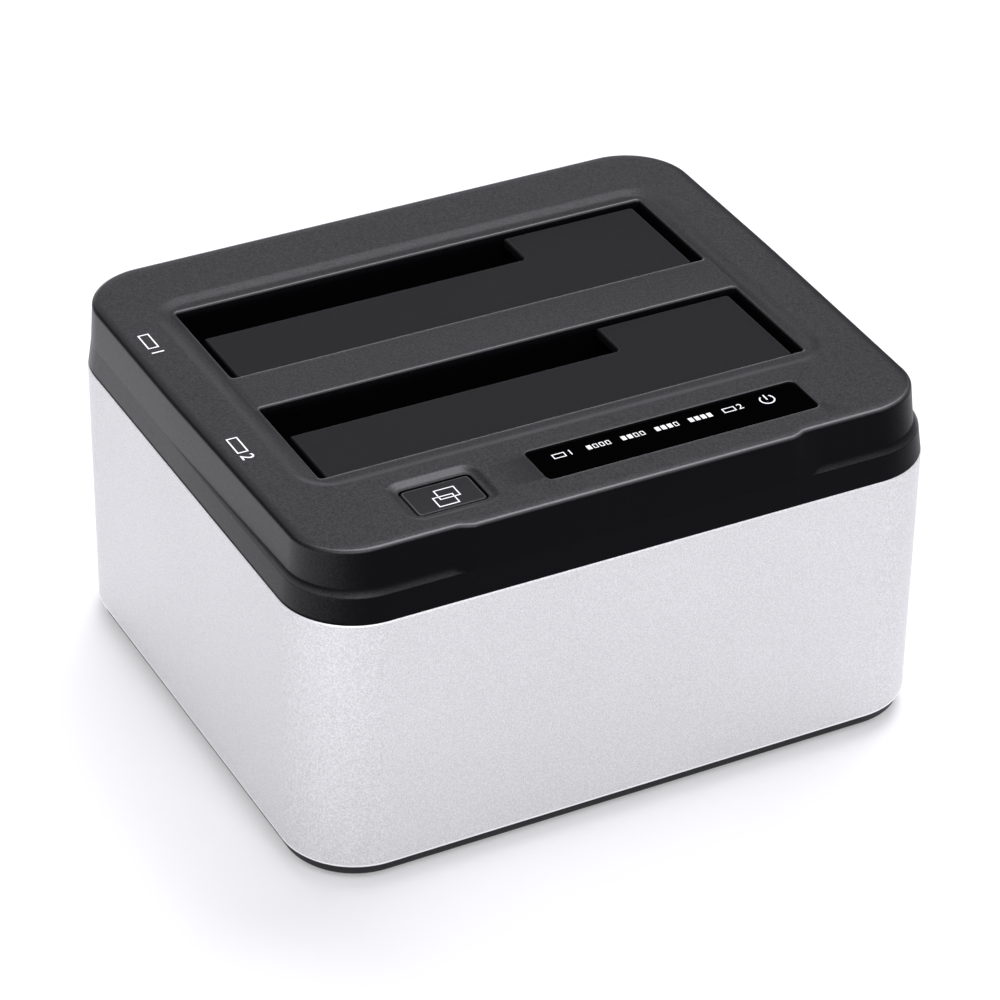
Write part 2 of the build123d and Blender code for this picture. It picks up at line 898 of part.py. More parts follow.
def bridge_chips():
    half = chip_size / 2
    pieces = []
    for y in bay_fronts:
        middle = y + slot_depth / 2
        pieces.append(block(chip_x - half, chip_x + half, middle - half, middle + half,
                            board_top, board_top + chip_height))
        x0 = chip_x - chip_size - small_chip_length
        pieces.append(block(x0, x0 + small_chip_length, middle - small_chip_width / 2,
                            middle + small_chip_width / 2, board_top, board_top + chip_height))
    return Compound(children=pieces)


def board_coils():
    half = coil_size / 2
    pieces = []
    for x in (-coil_x, coil_x):
        coil = soft_block(x - half, x + half, coil_y - half, coil_y + half,
                          board_top, board_top + coil_height, board_corner)
        pieces.append(chamfer(coil.faces().sort_by(Axis.Z)[-1].edges(), foot_edge))
    return Compound(children=pieces)


def board_capacitors():
    pieces = []
    for x in (-can_x, can_x):
        base = block(x - can_base / 2, x + can_base / 2, can_y - can_base / 2, can_y + can_base / 2,
                     board_top, board_top + can_base_height)
        can = post(x, can_y, board_top + can_base_height, board_top + can_height, can_r)
        pieces.append(base + chamfer(can.edges().sort_by(Axis.Z)[-1], foot_edge))
    return Compound(children=pieces)


# The rear panel and its ports

def port_z():
    return board_top + power_inlet_height / 2


def rear_slab(width, height, corner, y_back, y_front):
    sheet = Pos(0, y_front, rear_opening_z) * Rot(90, 0, 0) * RectangleRounded(width, height, corner)
    return extrude(sheet, y_front - y_back)


def rear_panel():
    plug = rear_slab(rear_opening_width - 2 * rear_panel_play, rear_opening_height - 2 * rear_panel_play,
                     rear_opening_corner - rear_panel_play, rear_panel_back, rear_face)
    flange = rear_slab(rear_opening_width + 2 * rear_flange, rear_opening_height + 2 * rear_flange,
                       rear_opening_corner + rear_flange, rear_panel_back, rear_inner)
    panel = plug + flange
    panel -= rod_y(power_inlet_x, rear_panel_back, rear_face, port_z(), power_inlet_nose_r + port_play)
    panel -= block(-usb_width / 2 - port_play, usb_width / 2 + port_play, rear_panel_back, rear_face,
                   board_top - port_play, board_top + usb_height + port_play)
    panel -= rod_y(power_button_x, rear_panel_back, rear_face, port_z(),
                   power_button_r + power_button_play)
    return panel


def power_inlet():
    back = rear_panel_back - joint_play
    body = block(power_inlet_x - power_inlet_width / 2, power_inlet_x + power_inlet_width / 2,
                 back - power_inlet_depth, back, board_top, board_top + power_inlet_height)
    body += rod_y(power_inlet_x, back, rear_face, port_z(), power_inlet_nose_r)
    return body - rod_y(power_inlet_x, rear_face - power_inlet_bore_depth, rear_face, port_z(),
                        power_inlet_bore_r)


def power_inlet_pin():
    return rod_y(power_inlet_x, rear_face - power_inlet_bore_depth, rear_face - power_inlet_pin_back,
                 port_z(), power_inlet_pin_r)


def usb_port():
    shell = block(-usb_width / 2, usb_width / 2, rear_face - usb_depth, rear_face,
                  board_top, board_top + usb_height)
    z0 = board_top + usb_mouth_floor
    z1 = z0 + usb_mouth_height
    mouth = block(-usb_mouth_width / 2, usb_mouth_width / 2, rear_face - usb_mouth_depth,
                  rear_face, z0, z1)
    upper = block(-usb_upper_width / 2, usb_upper_width / 2, rear_face - usb_mouth_depth,
                  rear_face, z1 - usb_corner, z1 + usb_upper_height)
    shell = fillet(shell.edges().filter_by(Axis.Y), usb_corner)
    return shell - mouth - upper


def usb_tongue():
    z = board_top + usb_mouth_floor + usb_mouth_height / 2
    return block(-usb_tongue_width / 2, usb_tongue_width / 2, rear_face - usb_mouth_depth,
                 rear_face - usb_mouth_depth + usb_tongue_length,
                 z - usb_tongue_height / 2, z + usb_tongue_height / 2)


def button_back():
    return rear_face + power_button_proud - power_button_length


def power_button():
    tip = rear_face + power_button_proud
    cap = rod_y(power_button_x, button_back(), tip, port_z(), power_button_r)
    cap = chamfer(cap.edges().sort_by(Axis.Y)[-1], power_button_edge)
    return cap + rod_y(power_button_x, button_back(), button_back() + power_button_flange_wall,
                       port_z(), power_button_r + power_button_flange)


def power_switch():
    front = button_back() - power_button_travel - power_switch_gap
    half = power_switch_width / 2
    body = block(power_button_x - half, power_button_x + half, front - power_switch_depth, front,
                 board_top, board_top + power_switch_height)
    bore_back = button_back() - power_plunger_length - power_button_travel - plunger_play
    return body - rod_y(power_button_x, bore_back, front, port_z(), plunger_r + plunger_play)


def power_plunger():
    return rod_y(power_button_x, button_back() - power_plunger_length, button_back(), port_z(),
                 plunger_r)


# The flat signal lead

def signal_lead():
    top = panel_board_z - plug_height
    bottom = board_top + plug_height
    route = FilletPolyline((lead_x, lead_y, top), (lead_x, lead_y, lead_low_z),
                           (lead_x, lead_rear_y, lead_step_z), (lead_x, lead_rear_y, bottom),
                           radius=(lead_bend, lead_bend))
    section = Pos(lead_x, lead_y, top) * Rectangle(lead_width, lead_thickness)
    return sweep(section, route)


def lead_plugs():
    half = plug_width / 2
    upper = block(lead_x - half, lead_x + half, lead_y - plug_depth / 2, lead_y + plug_depth / 2,
                  panel_board_z - plug_height, panel_board_z)
    lower = block(lead_x - half, lead_x + half, lead_rear_y - plug_depth / 2,
                  lead_rear_y + plug_depth / 2, board_top, board_top + plug_height)
    return Compound(children=[upper, lower])


os.makedirs("parts", exist_ok=True)

whole_parts = {
    "body_sleeve": body_sleeve,
    "base_plate": base_plate,
    "rubber_feet": rubber_feet,
    "case_screws": case_screws,
    "top_cover": top_cover,
    "bay_frame": bay_frame,
    "frame_screws": frame_screws,
    "display_window": display_window,
    "light_guide": light_guide,
    "status_lamps": status_lamps,
    "panel_board": panel_board,
    "panel_screws": panel_screws,
    "clone_button": clone_button,
    "clone_plunger": clone_plunger,
    "clone_switch": clone_switch,
    "main_board": main_board,
    "board_screws": board_screws,
    "bridge_chips": bridge_chips,
    "board_coils": board_coils,
    "board_capacitors": board_capacitors,
    "rear_panel": rear_panel,
    "power_inlet": power_inlet,
    "power_inlet_pin": power_inlet_pin,
    "usb_port": usb_port,
    "usb_tongue": usb_tongue,
    "power_button": power_button,
    "power_plunger": power_plunger,
    "power_switch": power_switch,
    "signal_lead": signal_lead,
    "lead_plugs": lead_plugs,
}
for name, make in whole_parts.items():
    save(make(), name)

bay_parts = {
    "door": door,
    "door_pin": door_pin,
    "door_spring": door_spring,
    "drive_socket": drive_socket,
    "drive_contacts": drive_contacts,
}
for number, bay_y in enumerate(bay_fronts, start=1):
    for name, make in bay_parts.items():
        save(make(bay_y), name + "_" + str(number))
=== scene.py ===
import bmesh
import bpy
import math
import numpy as np
from mathutils import Matrix, Vector
from mathutils.geometry import delaunay_2d_cdt


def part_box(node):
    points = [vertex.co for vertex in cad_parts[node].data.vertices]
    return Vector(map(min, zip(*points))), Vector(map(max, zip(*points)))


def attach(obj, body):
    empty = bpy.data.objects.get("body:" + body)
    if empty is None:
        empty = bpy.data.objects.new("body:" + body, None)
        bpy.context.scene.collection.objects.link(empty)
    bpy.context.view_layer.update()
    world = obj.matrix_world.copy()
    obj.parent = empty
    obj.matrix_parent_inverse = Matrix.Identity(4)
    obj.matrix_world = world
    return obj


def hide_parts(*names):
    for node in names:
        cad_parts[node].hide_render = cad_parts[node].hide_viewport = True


# A two bay drive dock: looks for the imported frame. Sizes in the dictionaries are millimetres.
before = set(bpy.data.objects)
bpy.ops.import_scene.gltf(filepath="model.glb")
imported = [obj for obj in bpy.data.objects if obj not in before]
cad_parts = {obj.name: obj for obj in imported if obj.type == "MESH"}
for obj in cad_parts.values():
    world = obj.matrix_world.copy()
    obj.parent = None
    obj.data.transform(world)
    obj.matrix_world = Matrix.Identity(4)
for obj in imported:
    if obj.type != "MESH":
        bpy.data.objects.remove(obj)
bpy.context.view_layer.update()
mm = 0.001
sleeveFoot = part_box("body_sleeve")[0].z / mm
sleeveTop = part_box("body_sleeve")[1].z / mm
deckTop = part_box("top_cover")[1].z / mm
caseHalf = (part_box("body_sleeve")[1].x / mm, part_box("body_sleeve")[1].y / mm)
windowBox = [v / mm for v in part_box("display_window")]
buttonBox = [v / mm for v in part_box("clone_button")]
print("frame loaded, deck at", round(deckTop, 2))


# Shader sockets that take part in Python sums.

class Link:
    def __init__(self, tree, socket):
        self.tree = tree
        self.socket = socket

    def math(self, kind, *others):
        node = self.tree.nodes.new("ShaderNodeMath")
        node.operation = kind
        for slot, value in zip(node.inputs, (self, *others)):
            joinSocket(self.tree, slot, value)
        return Link(self.tree, node.outputs[0])

    def __add__(self, other):
        return self.math("ADD", other)

    def __sub__(self, other):
        return self.math("SUBTRACT", other)

    def __mul__(self, other):
        return self.math("MULTIPLY", other)

    def __truediv__(self, other):
        return self.math("DIVIDE", other)

    def __rsub__(self, other):
        return self * -1 + other

    __radd__ = __add__
    __rmul__ = __mul__

    def above(self, low, high):          # 0 under low, 1 over high, straight between
        share = (self - low) / (high - low)
        return share.math("MINIMUM", 1.0).math("MAXIMUM", 0.0)


def joinSocket(tree, slot, value):
    if isinstance(value, Link):
        tree.links.new(value.socket, slot)
    else:
        slot.default_value = value


class Nodes:
    # Adds nodes to one tree, of a material or of the world.
    def __init__(self, tree):
        self.tree = tree

    def node(self, kind, settings=None, result=0, **values):
        made = self.tree.nodes.new("ShaderNode" + kind)
        for key, value in (settings or {}).items():
            setattr(made, key, value)
        for key, value in values.items():
            slot = made.inputs[int(key[2:])] if key.startswith("in") else made.inputs[key]
            joinSocket(self.tree, slot, value)
        return Link(self.tree, made.outputs[result])

    def seenRays(self):                  # 1 for the camera's rays and for those off metal and glass
        seen = self.node("LightPath", result="Is Camera Ray")
        for kind in ("Is Glossy Ray", "Is Transmission Ray"):
            seen = seen.math("MAXIMUM", self.node("LightPath", result=kind))
        return seen


class Finish(Nodes):
    # One material: noise and bump sizes are millimetres on the object.
    def __init__(self, name):
        self.material = bpy.data.materials.new(name)
        self.material.use_nodes = True
        super().__init__(self.material.node_tree)
        self.shader = self.tree.nodes["Principled BSDF"]

    def noise(self, size, detail=2.0, turn=0.0, stretch=(1, 1, 1)):
        place = self.node("TexCoord", result="Object")
        spread = tuple(s / (size * mm) for s in stretch)
        placed = self.node("Mapping", Vector=place, Scale=spread, Rotation=(0, 0, turn))
        return self.node("TexNoise", Vector=placed, Scale=1.0, Detail=detail, Roughness=0.55)

    def mix(self, share, *ends):         # each end is a colour or a link to one
        low, high = (end if isinstance(end, Link) else (*end, 1) for end in ends)
        return self.node("Mix", {"data_type": "RGBA"}, 2, in0=share, in6=low, in7=high)

    def bump(self, height, strength, depth, normal=None):
        values = {"Height": height, "Strength": strength, "Distance": depth * mm}
        if normal is not None:
            values["Normal"] = normal
        return self.node("Bump", **values)

    def rounded(self, radius):
        return self.node("Bevel", {"samples": 6}, Radius=radius * mm)

    def edgeMask(self, radius, gain):    # grows where the rounded normal leaves the true one
        true = self.node("NewGeometry", result="Normal")
        dot = self.node("VectorMath", {"operation": "DOT_PRODUCT"}, "Value", in0=self.rounded(radius), in1=true)
        return ((1.0 - dot) * gain).math("MINIMUM", 1.0)

    def done(self, **sockets):
        for key, value in sockets.items():
            joinSocket(self.tree, self.shader.inputs[key.replace("_", " ")], value)
        return self.material


def toned(tone, factor, extra=0.0):
    return tuple(c * factor + extra for c in tone)


plasticSet = dict(
    driftSize=34.0, driftTurn=0.4, slowShare=0.7, slowGloss=0.06, fineGloss=0.05, edgeGain=22.0, edgeRough=0.30,
    polishRough=0.40, speckle=4.5, speckleMost=0.13,
)


def mouldedPlastic(name, tone, rough=0.42, specular=0.3, grain=0.16, relief=0.006, soft=0.15, drift=0.12,
                   polish=0.0, edges=0.0):
    # Spark-textured plastic: fine grain in the normal, slow drift in tone and gloss.
    s = plasticSet
    finish = Finish(name)
    fine = finish.noise(grain, 3.0)
    slow = finish.noise(s["driftSize"], 1.5, turn=s["driftTurn"])
    share = slow * s["slowShare"] + fine * (1 - s["slowShare"])
    colour = finish.mix(share, toned(tone, 1 - drift), toned(tone, 1 + drift))
    gloss = slow * s["slowGloss"] + fine * s["fineGloss"] + (rough - (s["slowGloss"] + s["fineGloss"]) / 2)
    normal = finish.bump(fine, 0.5, relief, finish.rounded(soft) if soft else None)
    if edges:                            # corners rubbed smooth
        finish.done(Coat_Weight=finish.edgeMask(soft, s["edgeGain"]) * edges, Coat_Roughness=s["edgeRough"])
    if polish:                           # walls and rims left smooth by the mould
        shine = finish.node("Attribute", {"attribute_name": "shine"}, "Fac") * polish
        speckled = shine + (fine - 0.5) * s["speckle"] * shine.math("MINIMUM", s["speckleMost"])
        finish.done(Coat_Weight=speckled.math("MAXIMUM", 0.0), Coat_Roughness=s["polishRough"])
    return finish.done(Base_Color=colour, Roughness=gloss, Specular_IOR_Level=specular, Normal=normal)


sleeveSet = dict(
    tone=(0.655, 0.655, 0.662), darkest=0.80, brightest=1.12, rough=0.54, fineSize=0.25, coarseSize=0.6,
    cloudSize=30.0, fleckRange=(0.38, 0.62), soft=0.2, relief=0.012, strength=0.55,
    # painted highlight along the lower edge: its lighter tone, and its band in mm above the foot
    lowerHighlightTone=(0.88, 0.88, 0.88), lowerHighlightBand=(0.592, 0.74),
)


def blastedAluminium(name, s):
    # Bead-blasted, clear anodised: a fine sparkle in tone, gloss and normal, and a painted highlight on the lower
    # edge: a lighter tone in a thin band just above the foot.
    finish = Finish(name)
    fine = finish.noise(s["fineSize"], 1.0)
    coarse = finish.noise(s["coarseSize"], 1.0)
    cloud = finish.noise(s["cloudSize"], 1.0)
    fleck = (fine * 0.8 + coarse * 0.2).above(*s["fleckRange"])
    blasted = finish.mix(fleck * 0.85 + cloud * 0.15, toned(s["tone"], s["darkest"]),
                         toned(s["tone"], s["brightest"]))
    height = finish.node("SeparateXYZ", result="Z", Vector=finish.node("TexCoord", result="Object"))
    # painted highlight: the thin band just above the foot gets a lighter tone, standing in for light off the
    # lower bevel
    lowerHighlight = 1 - height.above(*((sleeveFoot + edge) * mm for edge in s["lowerHighlightBand"]))
    colour = finish.mix(lowerHighlight, blasted, s["lowerHighlightTone"])
    gloss = fleck * 0.10 + cloud * 0.03 + (s["rough"] - 0.06)
    normal = finish.bump(fine * 0.5 + coarse * 0.5, s["strength"], s["relief"], finish.rounded(s["soft"]))
    return finish.done(Base_Color=colour, Roughness=gloss, Metallic=1.0, Normal=normal)


def plainMetal(name, tone, rough=0.3, grain=0.4, stretch=(1, 1, 1)):
    # Turned or pressed metal: faint lines in tone, gloss and normal.
    finish = Finish(name)
    lines = finish.noise(grain, 2.0, stretch=stretch)
    colour = finish.mix(lines, toned(tone, 0.88), tone)
    normal = finish.bump(lines, 0.3, 0.004)
    return finish.done(Base_Color=colour, Metallic=1.0, Roughness=lines * 0.12 + (rough - 0.06), Normal=normal)


def glossPanel(name, tone, rough=0.045, dustRange=(0.60, 0.78)):
    # Polished dark acrylic with a trace of waviness and dust.
    finish = Finish(name)
    wave = finish.noise(9.0, 1.0)
    dust = finish.noise(0.35, 3.0).above(*dustRange)
    colour = finish.mix(dust, tone, toned(tone, 1.0, 0.002))
    normal = finish.bump(wave, 0.25, 0.02, finish.rounded(0.15))
    return finish.done(Base_Color=colour, Roughness=dust * 0.10 + rough, Specular_IOR_Level=0.0, Normal=normal)


def inkFinish(name, tone):
    # Screen-printed ink or clear lens plastic: a faint speck.
    finish = Finish(name)
    speck = finish.noise(0.3, 3.0)
    colour = finish.mix(speck, toned(tone, 0.93), tone)
    return finish.done(Base_Color=colour, Roughness=speck * 0.1 + 0.42, Specular_IOR_Level=0.3)


def circuitBoard(name, tone, trackPitch=9.0, patchSize=6.0, patchRange=(0.42, 0.5)):
    # Solder mask over copper: the joints of a brick pattern stand up as tracks, in patches.
    finish = Finish(name)
    place = finish.node("TexCoord", result="Object")
    along = finish.node("TexBrick", {"offset": 0.35, "squash": 1.0}, "Fac", Vector=place,
                        Scale=1 / (trackPitch * mm), in5=0.03, in6=0.1)
    track = along * finish.noise(patchSize, 1.0).above(*patchRange)
    colour = finish.mix(track, tone, toned(tone, 1.9, 0.01))
    normal = finish.bump(track, 0.6, 0.05)
    return finish.done(Base_Color=colour, Roughness=0.38 - track * 0.08, Specular_IOR_Level=0.45, Normal=normal)


finishes = {
    "cover": mouldedPlastic("coverPlastic", (0.0014, 0.0014, 0.0020), rough=0.45, specular=0.050, soft=0.0,
                            grain=0.34, relief=0.07, polish=1.0),
    "door": mouldedPlastic("doorPlastic", (0.0036, 0.0036, 0.0042), rough=0.50, specular=0.034, soft=0.22,
                           grain=0.30, relief=0.05, edges=0.30),
    "cap": mouldedPlastic("capPlastic", (0.0042, 0.0042, 0.0048), specular=0.053, soft=0.36, edges=1.0),
    "frame": mouldedPlastic("framePlastic", (0.0013, 0.0013, 0.0014), rough=0.55, specular=0.02),
    "base": mouldedPlastic("basePlastic", (0.017, 0.018, 0.020), specular=0.2, soft=0.3),
    "socket": mouldedPlastic("socketPlastic", (0.012, 0.012, 0.013), rough=0.38, specular=0.35, grain=0.4),
    "panel": mouldedPlastic("rearPlastic", (0.014, 0.014, 0.015), rough=0.45, specular=0.25),
    "rubber": mouldedPlastic("footRubber", (0.020, 0.020, 0.020), rough=0.75, specular=0.15, grain=0.5),
    "chip": mouldedPlastic("chipResin", (0.016, 0.016, 0.017), rough=0.52, grain=0.3),
    "guide": mouldedPlastic("guidePlastic", (0.55, 0.55, 0.54), rough=0.4, specular=0.4),
    "sleeve": blastedAluminium("sleeveAluminium", sleeveSet),
    "steel": plainMetal("pinSteel", (0.62, 0.61, 0.60), rough=0.28, stretch=(0.05, 1, 1)),
    "screw": plainMetal("screwSteel", (0.28, 0.28, 0.30), rough=0.36),
    "brass": plainMetal("contactGold", (0.83, 0.62, 0.30), rough=0.24),
    "shell": plainMetal("portShell", (0.60, 0.60, 0.61), rough=0.26, grain=0.6),
    "can": plainMetal("canAluminium", (0.72, 0.72, 0.73), rough=0.24),
    "board": circuitBoard("boardMask", (0.012, 0.055, 0.030)),
    "window": glossPanel("windowAcrylic", (0.0007, 0.0007, 0.0008)),
    "lamp": inkFinish("lampLens", (0.50, 0.62, 0.90)),
    "tongue": inkFinish("portTongue", (0.03, 0.12, 0.45)),
    "ink": inkFinish("whiteInk", (0.86, 0.86, 0.87)),
}

nodeFinish = {
    "sleeve": ["body_sleeve"],
    "base": ["base_plate"],
    "rubber": ["rubber_feet"],
    "screw": ["case_screws", "frame_screws", "panel_screws", "board_screws", "door_spring_1", "door_spring_2"],
    "cover": ["top_cover"],
    "frame": ["bay_frame"],
    "window": ["display_window"],
    "guide": ["light_guide"],
    "lamp": ["status_lamps"],
    "board": ["panel_board", "main_board"],
    "cap": ["clone_button", "power_button"],
    "chip": ["clone_plunger", "clone_switch", "bridge_chips", "board_coils", "power_plunger", "power_switch"],
    "can": ["board_capacitors"],
    "panel": ["rear_panel"],
    "socket": ["power_inlet", "signal_lead", "lead_plugs", "drive_socket_1", "drive_socket_2"],
    "steel": ["power_inlet_pin", "door_pin_1", "door_pin_2"],
    "shell": ["usb_port"],
    "tongue": ["usb_tongue"],
    "door": ["door_1", "door_2"],
    "brass": ["drive_contacts_1", "drive_contacts_2"],
}
for finishName, members in nodeFinish.items():
    for member in members:
        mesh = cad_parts[member].data
        mesh.materials.clear()
        mesh.materials.append(finishes[finishName])
print("finishes given to", sum(len(m) for m in nodeFinish.values()), "nodes")


# Surfaces on grids. A loop is an array of points round a closed outline, and a strip joins loops.

def cornerAngles(corner):
    # The angles of four quarter circles in turn, from the lower right corner on, as (4, corner + 1).
    return np.radians(np.linspace(-90, 0, corner + 1) + 90 * np.arange(4)[:, None])


def roundedLoop(x0, x1, y0, y1, radius, corner=10):
    # Rounded rectangle, counter-clockwise: centre plus radius times (cosine, sine) at each corner,
    # and the straight sides between.
    centres = np.array([(x1 - radius, y0 + radius), (x1 - radius, y1 - radius),
                        (x0 + radius, y1 - radius), (x0 + radius, y0 + radius)])
    angle = cornerAngles(corner)
    return (centres[:, None] + radius * np.stack([np.cos(angle), np.sin(angle)], -1)).reshape(-1, 2)


def loopFacing(corner=10):
    # The Y part of a rounded rectangle's outward normal, point by point: the sine of its angle.
    return np.sin(cornerAngles(corner)).ravel()


def boxLoop(box, grow, radius, corner=10, leastRadius=0.02):
    # A box grown on all sides, with its corners grown by as much.
    x0, x1, y0, y1 = box
    return roundedLoop(x0 - grow, x1 + grow, y0 - grow, y1 + grow, max(radius + grow, leastRadius), corner)


class Shell:
    # Collects strips and flat fills, then makes one closed mesh of them.
    def __init__(self):
        self.points = []
        self.shine = []
        self.faces = []
        self.count = 0

    def add(self, points, faces, shine=0.0):
        points = np.asarray(points, float)
        self.points.append(points.reshape(-1, 3))
        self.shine.append(np.broadcast_to(shine, points.shape[:-1]).ravel())
        self.faces += [(np.asarray(face) + self.count).tolist() for face in faces]
        self.count += len(self.points[-1])

    def strip(self, levels, shine=0.0):  # levels: array of (level, point, xyz), closed round each level
        levels = np.asarray(levels, float)
        rows, columns = levels.shape[:2]
        index = np.arange(rows * columns).reshape(rows, columns)
        beside = np.roll(index, -1, axis=1)
        quads = np.stack([index[:-1], beside[:-1], beside[1:], index[1:]], -1).reshape(-1, 4)
        self.add(levels, quads, np.broadcast_to(np.asarray(shine, float), levels.shape[:2]))

    def flat(self, z, outer, holes=(), shine=0.0):       # inside one loop and outside the others
        loops = [outer, *holes]
        starts = np.cumsum([0, *(len(loop) for loop in loops)])
        edges = np.concatenate([
            np.stack([np.arange(len(loop)), np.roll(np.arange(len(loop)), -1)], 1) + start
            for loop, start in zip(loops, starts)
        ])
        found = delaunay_2d_cdt([Vector(p) for p in np.concatenate(loops)], edges.tolist(), [], 1, 1e-6)
        points = np.array([tuple(p) for p in found[0]])
        triangles = np.array([tuple(f) for f in found[2]])
        middle = points[triangles].mean(1)
        keep = insideLoop(middle, outer)
        for hole in holes:
            keep &= ~insideLoop(middle, hole)
        self.add(lifted(points, z), triangles[keep], shine)

    def plate(self, low, high, loop):    # a solid plate with straight sides
        self.strip([lifted(loop, low), lifted(loop, high)])
        self.flat(high, loop)
        self.flat(low, loop)

    def band(self, low, high, outer, inner):             # a flat band with thickness between two loops
        self.strip([lifted(outer, low), lifted(outer, high), lifted(inner, high), lifted(inner, low),
                    lifted(outer, low)])

    def build(self, name, finish, body, slot, merge=2e-6, crease=38):
        mesh = bpy.data.meshes.new(name)
        mesh.from_pydata(np.concatenate(self.points) * mm, [], self.faces)
        mesh.attributes.new("shine", "FLOAT", "POINT").data.foreach_set("value", np.concatenate(self.shine))
        work = bmesh.new()
        work.from_mesh(mesh)
        bmesh.ops.remove_doubles(work, verts=work.verts, dist=merge)
        bmesh.ops.dissolve_degenerate(work, edges=work.edges, dist=1e-7)
        bmesh.ops.recalc_face_normals(work, faces=work.faces)
        work.to_mesh(mesh)
        work.free()
        mesh.shade_smooth()
        mesh.set_sharp_from_angle(angle=math.radians(crease))
        mesh.materials.clear()
        mesh.materials.append(finishes[finish])
        piece = bpy.data.objects.new(name, mesh)
        bpy.context.scene.collection.objects.link(piece)
        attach(piece, body)
        return piece


def insideLoop(points, loop):
    # Even-odd rule: count the sides that a ray along X crosses.
    a, b = loop, np.roll(loop, -1, axis=0)
    x, y = points[:, :1], points[:, 1:]
    spans = (a[:, 1] > y) != (b[:, 1] > y)
    rise = np.where(np.abs(b[:, 1] - a[:, 1]) < 1e-12, 1e-12, b[:, 1] - a[:, 1])
    cross = a[:, 0] + (y - a[:, 1]) * (b[:, 0] - a[:, 0]) / rise
    return (spans & (x < cross)).sum(1) % 2 == 1


def lifted(loop, z):
    return np.column_stack([loop, np.full(len(loop), z)])


def roundedProfile(corners, reach, steps):
    # Rounds a profile's corners: from each corner minus its reach to the corner plus its reach
    # runs a parabola, and no reach takes more than about half a side.
    # corners is (corner, sample, 2), reach (corner, sample).
    rows = [corners[0]]
    for k in range(1, len(corners) - 1):
        here = corners[k]
        before = corners[k - 1] - here
        after = corners[k + 1] - here
        lengthBefore = np.linalg.norm(before, axis=-1, keepdims=True) + 1e-9
        lengthAfter = np.linalg.norm(after, axis=-1, keepdims=True) + 1e-9
        start = here + before / lengthBefore * np.minimum(reach[k][:, None], lengthBefore * 0.48)
        end = here + after / lengthAfter * np.minimum(reach[k][:, None], lengthAfter * 0.48)
        for t in np.linspace(0, 1, steps[k]):
            rows.append((1 - t) ** 2 * start + 2 * t * (1 - t) * here + t ** 2 * end)
    rows.append(corners[-1])
    return np.array(rows)


def smoothStep(t):
    # An S from 0 to 1: three times the square less twice the cube.
    t = np.clip(t, 0, 1)
    return t * t * (3 - 2 * t)


# The moulded cover

cover = dict(
    caseCorner=15.0, cornerSteps=22, sideSteps=26, frontSteps=84,
    seamReveal=0.12, seamInset=0.26, seamDrop=0.07, seamRing=0.42, seamLap=1.32, seamEdge=0.06,
    skirtLean=0.85, skirtTop=64.2, hemHeight=0.5, ledgeRise=1.2, ledgeWidth=1.15, leastStep=0.012,
    ledgeEdge=0.35, ledgeRoot=0.3, bumpHalf=33.4, bumpRamp=3.0, bumpDrift=2.3, sideStart=8.0, sideRun=62.5,
    sideSoft=0.03, sideInset=1.35, frontInset=2.7, rearInset=1.4, deckEdge=0.85, deckRing=2.2,
    spigotInset=2.0, spigotDepth=3.5, shellInset=3.6, shellTopInset=5.2, deckThickness=2.6,
    slots=(-51.5, 51.5), slotFronts=(10.9, -28.2), slotDepth=27.0, slotCorner=0.7, slotEdge=0.45,
    trayDepth=0.6, traySlope=2.8, trayCorner=8.0, trayRimX=5.0, trayRimY=4.8, traySteps=15,
    windowPlay=0.1, windowCorner=1.2, windowLedge=0.8, windowEdge=0.14,
    buttonFlange=0.8, buttonPlay=0.25, buttonCorner=1.0, buttonEdge=0.15,
    pocketMargin=0.35, pocketDepth=0.6, pocketSlope=2.0, pocketSteps=9,
    wallShine=0.70, edgeShine=1.0, ledgeShine=0.35, trayShine=0.12, pocketShine=0.62, deckShine=0.14,
    seamShine=0.5, skirtLoss=0.3, ledgeGain=0.4,
    profileSteps=(0, 2, 2, 4, 2, 7, 6, 11, 0), shineRows=(6, 2, 2, 5, 3, 4, 4),      # 36 rows in both
    wallFade=(0.8, 0.3, 0.1, 0, 0, 0, 0, 0, 0), edgeRise=(0, 0.2, 0.6, 1, 1, 1, 1, 0.8, 0.3),
    rimRows=(0.1, 0.3, 1, 1, 1, 1, 1, 0.5, 0), rimSides=0.25, pocketRim=0.5,
)


def caseLoop(s):
    # The case's outline with its outward normals: corners as arcs, closer points on the front.
    hx, hy = caseHalf
    r = s["caseCorner"]
    ends = [((hx - r, -hy + r), -90), ((hx - r, hy - r), 0), ((-hx + r, hy - r), 90), ((-hx + r, -hy + r), 180)]
    counts = [s["sideSteps"], s["sideSteps"], s["sideSteps"], s["frontSteps"]]
    points, turns = [], []
    for k, (centre, start) in enumerate(ends):
        angle = np.radians(np.linspace(start, start + 90, s["cornerSteps"] + 1))
        points.append(np.array(centre) + r * np.stack([np.cos(angle), np.sin(angle)], 1))
        turns.append(angle)
        nextCentre = np.array(ends[(k + 1) % 4][0])
        out = np.array([math.cos(angle[-1]), math.sin(angle[-1])])
        share = np.linspace(0, 1, counts[k] + 1)[1:-1, None]
        points.append((np.array(centre) * (1 - share) + nextCentre * share) + r * out)
        turns.append(np.full(counts[k] - 1, angle[-1]))
    turns = np.concatenate(turns)
    return np.concatenate(points), np.stack([np.cos(turns), np.sin(turns)], 1)


def ledgeShare(points, normals, s, drift):
    # 1 where the upper wall stands a full step inside the skirt, 0 where it is flush with it.
    # Along the sides it grows straight toward the front, with a soft start: half the run plus the
    # root of its square and a small square. On the front an S takes it to 0 at the raised middle.
    x, y = np.abs(points[:, 0]), points[:, 1]
    run = (s["sideStart"] - y) / s["sideRun"]
    share = np.clip(0.5 * (run + np.sqrt(run ** 2 + s["sideSoft"] ** 2)), 0, 1)
    bump = smoothStep((x - s["bumpHalf"] - drift) / s["bumpRamp"])
    onFront = np.clip(-normals[:, 1], 0, 1) > 0.999
    return share * np.where(onFront, bump, 1.0)


